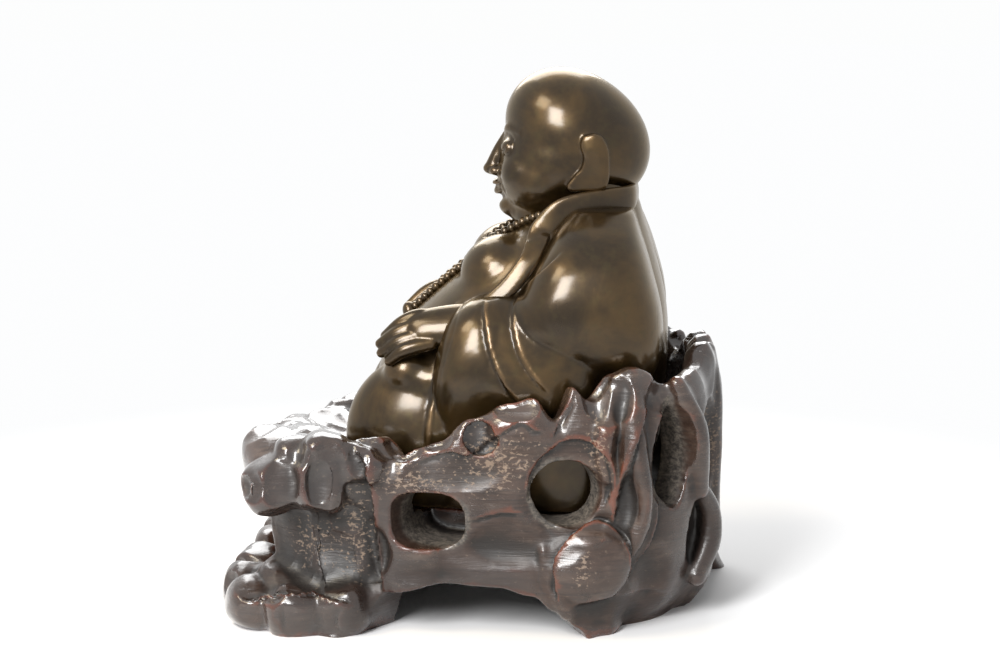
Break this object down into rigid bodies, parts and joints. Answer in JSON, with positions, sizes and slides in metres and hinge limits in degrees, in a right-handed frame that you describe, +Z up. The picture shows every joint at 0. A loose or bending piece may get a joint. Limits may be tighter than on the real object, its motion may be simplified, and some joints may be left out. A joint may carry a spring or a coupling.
{
  "type": "bronze buddha statue on a carved stand",
  "caption": "Hollow bronze figure of a seated, bald monk in an open robe with bead cord, resting loose in a pierced, root-carved wooden stand with wavy rim, front knobs and four feet",
  "frame": {"origin": "centre of the part's bounding box, on the table plane under the stand's feet", "axes": "+Z up; the figure looks along -Y; +X is the figure's own left side, the side that the picture shows"},
  "size_m": [0.1071, 0.1304, 0.1379],
  "materials": {
    "bronze": "polished dark brown patina",
    "dark_wood": "semi-gloss stained and waxed"
  },
  "bodies": {
    "root": {"bronze_figure": "bronze", "carved_stand": "dark_wood"}
  },
  "joints": []
}
